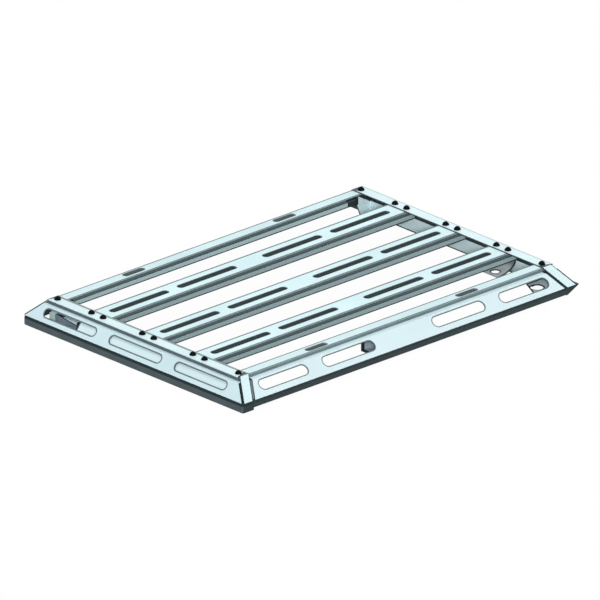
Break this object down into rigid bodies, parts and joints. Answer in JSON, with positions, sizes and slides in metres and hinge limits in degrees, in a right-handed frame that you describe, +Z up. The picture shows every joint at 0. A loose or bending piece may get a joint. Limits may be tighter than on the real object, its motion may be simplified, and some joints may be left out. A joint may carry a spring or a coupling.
{
  "type": "roof basket",
  "caption": "Flat roof basket: slotted slats between end beams, in a frame with sloped slotted side panels, clipped corners and dark rubber skirts",
  "frame": {"origin": "middle of the footprint, on the plane that the end skirts stand on", "axes": "+X along the length to the rear end, +Y across to the left side, +Z up"},
  "size_m": [1.74, 1.214, 0.113],
  "materials": {
    "pale_sheet": "pale ice-blue powder coat on folded sheet",
    "pale_section": "pale ice-blue powder coat on hollow section",
    "dark_sheet": "dark grey coated sheet",
    "grey_sheet": "mid grey coated sheet",
    "skirt_rubber": "dark grey moulded rubber"
  },
  "bodies": {
    "root": {"front_panel": "pale_sheet", "rear_panel": "pale_sheet", "right_panel": "pale_sheet", "left_panel": "pale_sheet", "front_right_corner": "pale_sheet", "front_left_corner": "pale_sheet", "rear_right_corner": "pale_sheet", "rear_left_corner": "pale_sheet", "front_liner": "pale_sheet", "front_beam": "pale_sheet", "rear_beam": "pale_sheet", "front_right_leg": "pale_sheet", "front_left_leg": "pale_sheet", "rear_right_leg": "pale_sheet", "rear_left_leg": "pale_sheet", "rear_right_shelf": "pale_sheet", "right_rail": "pale_section", "left_rail": "pale_section", "right_slat": "pale_section", "middle_slat": "pale_section", "left_slat": "pale_section", "front_right_gusset": "dark_sheet", "front_left_gusset": "dark_sheet", "rear_right_gusset": "dark_sheet", "rear_left_gusset": "dark_sheet", "right_bracket": "grey_sheet", "rear_plate": "grey_sheet", "front_clip": "grey_sheet", "front_skirt": "skirt_rubber", "rear_skirt": "skirt_rubber", "right_skirt": "skirt_rubber", "left_skirt": "skirt_rubber"}
  },
  "joints": []
}
